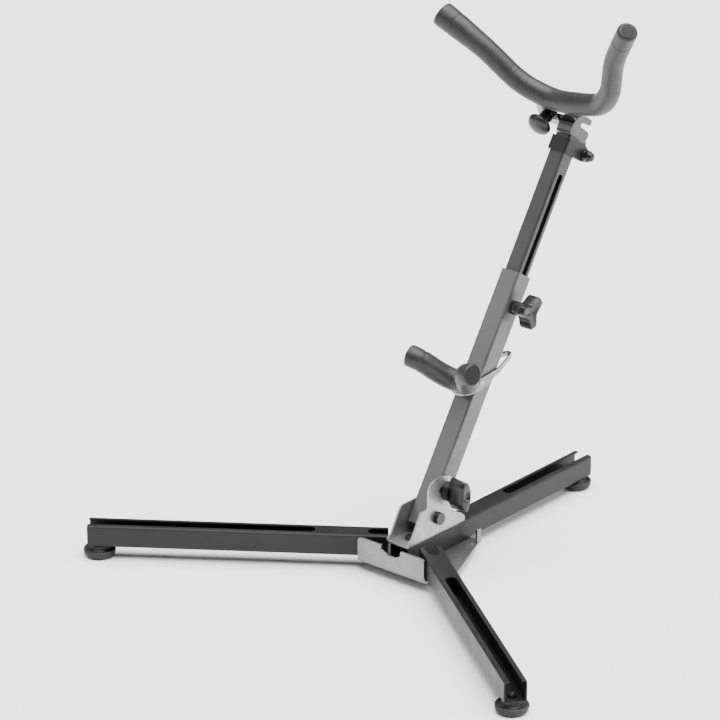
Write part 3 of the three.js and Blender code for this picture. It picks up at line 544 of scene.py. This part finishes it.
# ---- foam sleeves --------------------------------------------------------------
def path_frames(samples, step):
    """Direction, sideways direction and curvature at each point of a path."""
    last = len(samples) - 1
    tangents = []
    for i in range(len(samples)):
        before = samples[max(i - 1, 0)]
        after = samples[min(i + 1, last)]
        tangents.append((after - before).normalized())
    side = tangents[0].orthogonal().normalized()
    sides = []
    bends = []
    for i, tangent in enumerate(tangents):
        side = (side - tangent * side.dot(tangent)).normalized()
        sides.append(side)
        before = tangents[max(i - BEND_WINDOW, 0)]
        after = tangents[min(i + BEND_WINDOW, last)]
        bends.append((after - before) / (2 * BEND_WINDOW * step))
    return tangents, sides, bends


def end_cap(from_end, end_round, radius):
    """Share of the radius left by the rounded rim of an end."""
    if from_end >= end_round:
        return 1.0
    drop = 1 - math.sqrt(max(1 - (1 - from_end / end_round) ** 2, 0.0))
    return 1 - (end_round / radius) * drop


def seam_depth(along, length, seams):
    depth = 0.0
    for seam, deep in seams:
        at = seam if seam > 0 else length + seam
        depth += deep * math.exp(-((along - at) / SEAM_WIDTH) ** 2)
    return depth


def padded_sleeve(name, path, radius, matrix, materials, body, replaced, end_round, seams, wrinkle, seed):
    """Foam tube over a bent rod: cut ends, moulded seams, and folds inside the bends.

    radius gives the tube's radius for a distance along it and the whole length.
    materials are those of the skin and of the cut ends.
    """
    samples, length = resample(path, SLEEVE_SPACING)
    step = length / (len(samples) - 1)
    tangents, sides, bends = path_frames(samples, step)
    stations = [(0.0, share) for share in CUT_FACE_SHARES]
    stations += [(i * step, 1.0) for i in range(len(samples))]
    stations += [(length, share) for share in reversed(CUT_FACE_SHARES)]
    rings = []
    for along, face_share in stations:
        i = min(int(round(along / step)), len(samples) - 1)
        centre = samples[i]
        across = sides[i]
        up = tangents[i].cross(across)
        here = radius(along, length)
        cap = end_cap(min(along, length - along), end_round, here)
        groove = seam_depth(along, length, seams)
        ring = []
        for k in range(SLEEVE_AROUND):
            angle = 2 * math.pi * k / SLEEVE_AROUND
            normal = across * math.cos(angle) + up * math.sin(angle)
            fold = min(max(normal.dot(bends[i]), 0.0) * here, MOST_FOLD)
            wander = noise.noise(Vector((along * 0.05 + seed, math.cos(angle) * 0.8, math.sin(angle) * 0.8)))
            ripple = math.sin(along * FOLD_RATE + FOLD_WANDER * wander + seed)
            swell = SWELL * noise.noise(centre * 0.045 + normal * 0.5 + Vector((seed, 0, 0)))
            depth = wrinkle * fold * ripple + swell - groove
            reach = (here * cap + depth * cap) * face_share
            ring.append(tuple(centre + normal * reach))
        rings.append(ring)
    points, faces = loft(rings)
    piece = make_object(name, points, faces, matrix, materials[0], body, replaced)
    piece.data.materials.append(materials[1])
    # The rows of the far face and both centre fans come after the rows of the side.
    first_side = len(CUT_FACE_SHARES)
    last_side = len(stations) - 2 - len(CUT_FACE_SHARES)
    for index, polygon in enumerate(piece.data.polygons):
        if not first_side <= index // SLEEVE_AROUND <= last_side:
            polygon.material_index = 1


def fork_pad_radius(along, length):
    """Fuller towards the left tip, slimmer up the right arm."""
    left_tip = LEFT_TIP_FLARE * (1 - smoothstep(10, 75, along))
    right_arm = RIGHT_ARM_SLIMMER * smoothstep(0.62 * length, 0.75 * length, along)
    return FORK_PAD_RADIUS + FORK_PAD_FULLER + left_tip - right_arm


def rest_pad_radius(_along, _length):
    return REST_PAD_RADIUS


def foam_sleeves(skin, cut_end):
    padded_sleeve(
        "fork_pad", catmull(mirrored(FORK_HALF, FORK_SHIFT), PATH_STEPS), fork_pad_radius,
        TO_FORK @ FORK_TURN, (skin, cut_end), "fork", ["fork_sleeve", "fork_tip_left", "fork_tip_right"],
        end_round=4.0, seams=FORK_SEAMS, wrinkle=0.7, seed=1.7,
    )
    padded_sleeve(
        "rest_pad", catmull(mirrored(REST_HALF, 0.0), PATH_STEPS), rest_pad_radius,
        TO_MAST, (skin, cut_end), "rest", ["support_sleeve", "support_tip_left", "support_tip_right"],
        end_round=1.6, seams=REST_SEAMS, wrinkle=0.5, seed=5.3,
    )


# ---- pieces --------------------------------------------------------------------
def foot_piece(name, body, node, material):
    """Bowl-shaped rubber foot with a screw recess in its underside."""
    low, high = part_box(node)
    centre = ((low[0] + high[0]) / 2, (low[1] + high[1]) / 2)
    height = high[2] / MM
    neck = FOOT_NECK_RADIUS
    profile = [
        (5.2, 4.2), (5.4, 4.0), (5.4, 0.5), (5.9, 0.0), (12.6, 0.0), (13.6, 0.1), (14.7, 0.5),
        (15.9, 1.4), (16.9, 2.7), (17.6, 4.3), (17.9, 5.3), (17.7, 5.6), (17.7, 5.9), (18.0, 6.2),
        (FOOT_RADIUS, 7.6), (18.0, 8.4), (17.6, 9.0), (16.9, 9.4), (16.0, 9.5), (15.2, 9.2), (14.2, 8.8),
        (13.2, 8.8), (12.3, 9.2), (11.6, 9.9), (neck + 0.2, 10.8), (neck, 11.8), (neck, height - 0.5),
        (neck - 0.4, height), (2.6, height), (2.6, 4.2),
    ]
    points, faces = loft(turned(profile, TURNED_POINTS), False, False)
    last_row = (len(profile) - 1) * TURNED_POINTS
    for i in range(TURNED_POINTS):
        j = (i + 1) % TURNED_POINTS
        faces.append((last_row + i, last_row + j, j, i))
    place = Matrix.Translation((centre[0] / MM, centre[1] / MM, 0))
    make_object(name, points, faces, place, material, body, [node])


def radial_outline(corners, count, rounding):
    """Distance from the centre to a polygon at equal angles, smoothed round its corners."""
    radii = []
    for i in range(count):
        angle = 2 * math.pi * i / count
        ray = Vector((math.cos(angle), math.sin(angle)))
        best = 0.0
        for k, corner in enumerate(corners):
            a = Vector(corner)
            b = Vector(corners[(k + 1) % len(corners)])
            edge = b - a
            cross = ray.x * edge.y - ray.y * edge.x
            if abs(cross) < 1e-9:
                continue
            t = (a.x * edge.y - a.y * edge.x) / cross
            s = (a.x * ray.y - a.y * ray.x) / cross
            if t > 0 and -1e-6 <= s <= 1 + 1e-6:
                best = max(best, t)
        radii.append(best)
    for _ in range(rounding):
        radii = smoothed(radii)
    return radii


def beside_mast(distance):
    """Place for a knob that points along X, at a distance up the mast."""
    return TO_MAST @ Matrix.Translation((0, 0, distance)) @ Matrix.Rotation(MAST_TILT, 4, "X")


def hub_knob_piece(material):
    """Flat winged knob with a round recess in its end."""
    x0 = HUB_KNOB_FROM
    x1 = HUB_KNOB_TO
    outline = radial_outline(HUB_KNOB_CORNERS, OUTLINE_POINTS, HUB_KNOB_ROUNDING)
    circle = [1.0] * OUTLINE_POINTS
    rings = shape_rings([
        (x0, 1.6, 1.0), (x0 + 0.4, 0.6, 1.0), (x0 + 1.3, 0, 1.0),
        (x1 - 1.2, 0, 0.905), (x1 - 0.35, 0.4, 0.9), (x1, 1.2, 0.9),
    ], outline)
    rings += shape_rings([(x1, 0, 6.3), (x1 - 0.4, 0, 5.7), (x1 - 2.4, 0, 5.5), (x1 - 2.6, 0, 3.0)], circle)
    points, faces = loft(rings)
    make_object(
        "hub_knob_body", points, faces, beside_mast(HUB_AT), material,
        "hub_knob", ["hub_knob"],
    )


def lobed_radius(angle):
    """Three square-ended wings with hollow flanks between them."""
    third = 2 * math.pi / 3
    off = math.degrees(abs((angle - math.radians(WING_TURN) + third / 2) % third - third / 2))
    if off < WING_EDGE:
        return WING_TIP / math.cos(math.radians(off))
    if off < WING_FOOT:
        share = (off - WING_EDGE) / (WING_FOOT - WING_EDGE)
        return WING_SHOULDER + (WING_WAIST - WING_SHOULDER) * share ** 0.8
    share = (off - WING_FOOT) / (60 - WING_FOOT)
    return WING_WAIST + (WING_HOLLOW - WING_WAIST) * share ** 0.7


def height_knob_piece(material):
    """Three-winged knob on a round stem."""
    x0 = HEIGHT_KNOB_FROM
    x1 = HEIGHT_WINGS_FROM
    x2 = HEIGHT_WINGS_TO
    outline = smoothed([lobed_radius(2 * math.pi * i / OUTLINE_POINTS) for i in range(OUTLINE_POINTS)])
    circle = [1.0] * OUTLINE_POINTS
    rings = shape_rings([(x0, 0, 7.0), (x0 + 0.5, 0, 7.8), (x1 - 1.4, 0, 7.8), (x1 - 0.3, 0, 8.4)], circle)
    rings += shape_rings([
        (x1, 2.6, 1.0), (x1 + 0.5, 1.0, 1.0), (x1 + 1.6, 0.0, 1.0),
        (x2 - 1.8, 0.0, 0.985), (x2 - 0.6, 0.7, 0.985), (x2 - 0.1, 1.8, 0.985),
        (x2 - 0.7, 1.8, 0.75), (x2 - 1.5, 1.8, 0.55), (x2 - 2.0, 1.8, 0.36),
    ], outline)
    rings += shape_rings([(x2 - 2.1, 0, 2.2)], circle)
    points, faces = loft(rings)
    make_object(
        "height_knob_body", points, faces, beside_mast(HEIGHT_AT), material,
        "height_knob", ["height_knob"],
    )


def fork_knob_piece(material):
    """Mushroom knob on a narrow neck."""
    z0 = FORK_KNOB_FROM
    profile = [
        (3.4, z0 + 0.2), (6.9, z0), (7.4, z0 + 0.3), (7.6, z0 + 0.9), (7.4, z0 + 1.4), (7.4, z0 + 7.6),
        (7.9, z0 + 8.7), (9.4, z0 + 9.4), (12.4, z0 + 9.9), (13.5, z0 + 10.3), (14.0, z0 + 11.2),
        (14.2, z0 + 12.4), (13.9, z0 + 13.9), (13.0, z0 + 15.6), (11.2, z0 + 17.2), (8.8, z0 + 18.4),
        (5.6, z0 + 19.3), (2.6, z0 + 19.6), (0.5, z0 + 19.7),
    ]
    points, faces = loft(turned(profile, FORK_KNOB_POINTS))
    place = TO_FORK @ Matrix.Translation((*FORK_KNOB, 0))
    make_object(
        "fork_knob_body", points, faces, place, material,
        "fork_knob", ["fork_knob"],
    )


def dome_nut_piece(material):
    """Domed cap nut: a flange, six flats and a dome."""
    place = TO_MAST @ Matrix.Translation((0, *HEAD_BOLT)) @ ALONG_X
    flange = [(3.4, 12.9), (6.4, 12.8), (6.8, 13.2), (6.8, 14.3), (6.5, 14.8)]
    dome = [(5.5, 19.8), (5.4, 21.0), (4.9, 22.4), (4.0, 23.5), (2.6, 24.3), (0.8, 24.6)]
    rings = turned(flange, TURNED_POINTS)
    for height, reach in ((15.0, 5.9), (15.4, 6.0), (19.0, 6.0), (19.5, 5.8)):
        ring = []
        for i in range(TURNED_POINTS):
            angle = 2 * math.pi * i / TURNED_POINTS
            local = (angle + math.pi / 6) % (math.pi / 3) - math.pi / 6
            radius = min(reach / math.cos(local), reach * 1.11)
            ring.append((radius * math.cos(angle), radius * math.sin(angle), height))
        rings.append(ring)
    rings += turned(dome, TURNED_POINTS)
    points, faces = loft(rings)
    make_object(
        "head_dome_nut_body", points, faces, place, material,
        "upper_mast", ["head_dome_nut"],
    )


# ---- build ---------------------------------------------------------------------
build_camera()
build_studio()

MATERIALS = {
    "black_paint": paint_material("black_powder_coat", 0.012, 0.018, 0.22, 0.0),
    "zinc": zinc_material("bright_zinc", 0.30, 0.38),
    "chrome": chrome_material("polished_plating", 0.26, 0.36, 0.12),
    "dark_steel": dark_steel_material(),
    "foot_rubber": rubber_material(),
    "black_plastic": plastic_material(),
    "pad_foam": foam_material("foam_sleeve", 1.0),
}
# Materials of single pieces; several are lighter or darker copies that paint in light and shade.
OWN_MATERIALS = {
    # Painted light: both mast tubes have the same black paint as the legs, made lighter here for the light
    # that falls on them from above.
    "mast_outer_tube": paint_material("mast_coat_painted_light", 0.10, 0.13, 0.4, 0.6),
    "mast_inner_tube": paint_material("inner_mast_coat_painted_light", 0.042, 0.058, 0.4, 0.5),
    # Painted shade: the base plate is the same bright zinc, made darker here for its dimmer reflection.
    "base_plate": zinc_material("flange_zinc_painted_shade", 0.17, 0.23),
    # Painted shade: the lug is the same polished chrome, made much darker here for its dark reflections, not
    # a smoked finish.
    "head_lug": chrome_material("lug_plating_painted_shade", 0.065, 0.115, 0.28),
    # Painted shade: the band is the same chrome, made darker here for its greyer reflection.
    "support_band": chrome_material("band_plating_painted_shade", 0.17, 0.27, 0.16),
    "foot_nut_rear": MATERIALS["dark_steel"],
    "foot_nut_left": MATERIALS["dark_steel"],
    "foot_nut_right": MATERIALS["dark_steel"],
}

for entry in frame["record"]["subparts"]:
    name = entry["node"]
    materials = frame["nodes"][name].data.materials
    materials.clear()
    materials.append(OWN_MATERIALS.get(name, MATERIALS[entry["material_slot"]]))

for name in SHARP_NODES:
    round_edges(frame["nodes"][name], EDGE_WIDTHS.get(name, EDGE_WIDTH))

foam_sleeves(MATERIALS["pad_foam"], foam_material("foam_cut_end", 0.45))
for side, body in (("rear", "base"), ("left", "left_leg"), ("right", "right_leg")):
    foot_piece(f"foot_{side}_rubber", body, f"foot_{side}", MATERIALS["foot_rubber"])
hub_knob_piece(MATERIALS["black_plastic"])
height_knob_piece(MATERIALS["black_plastic"])
fork_knob_piece(MATERIALS["black_plastic"])
dome_nut_piece(MATERIALS["black_plastic"])
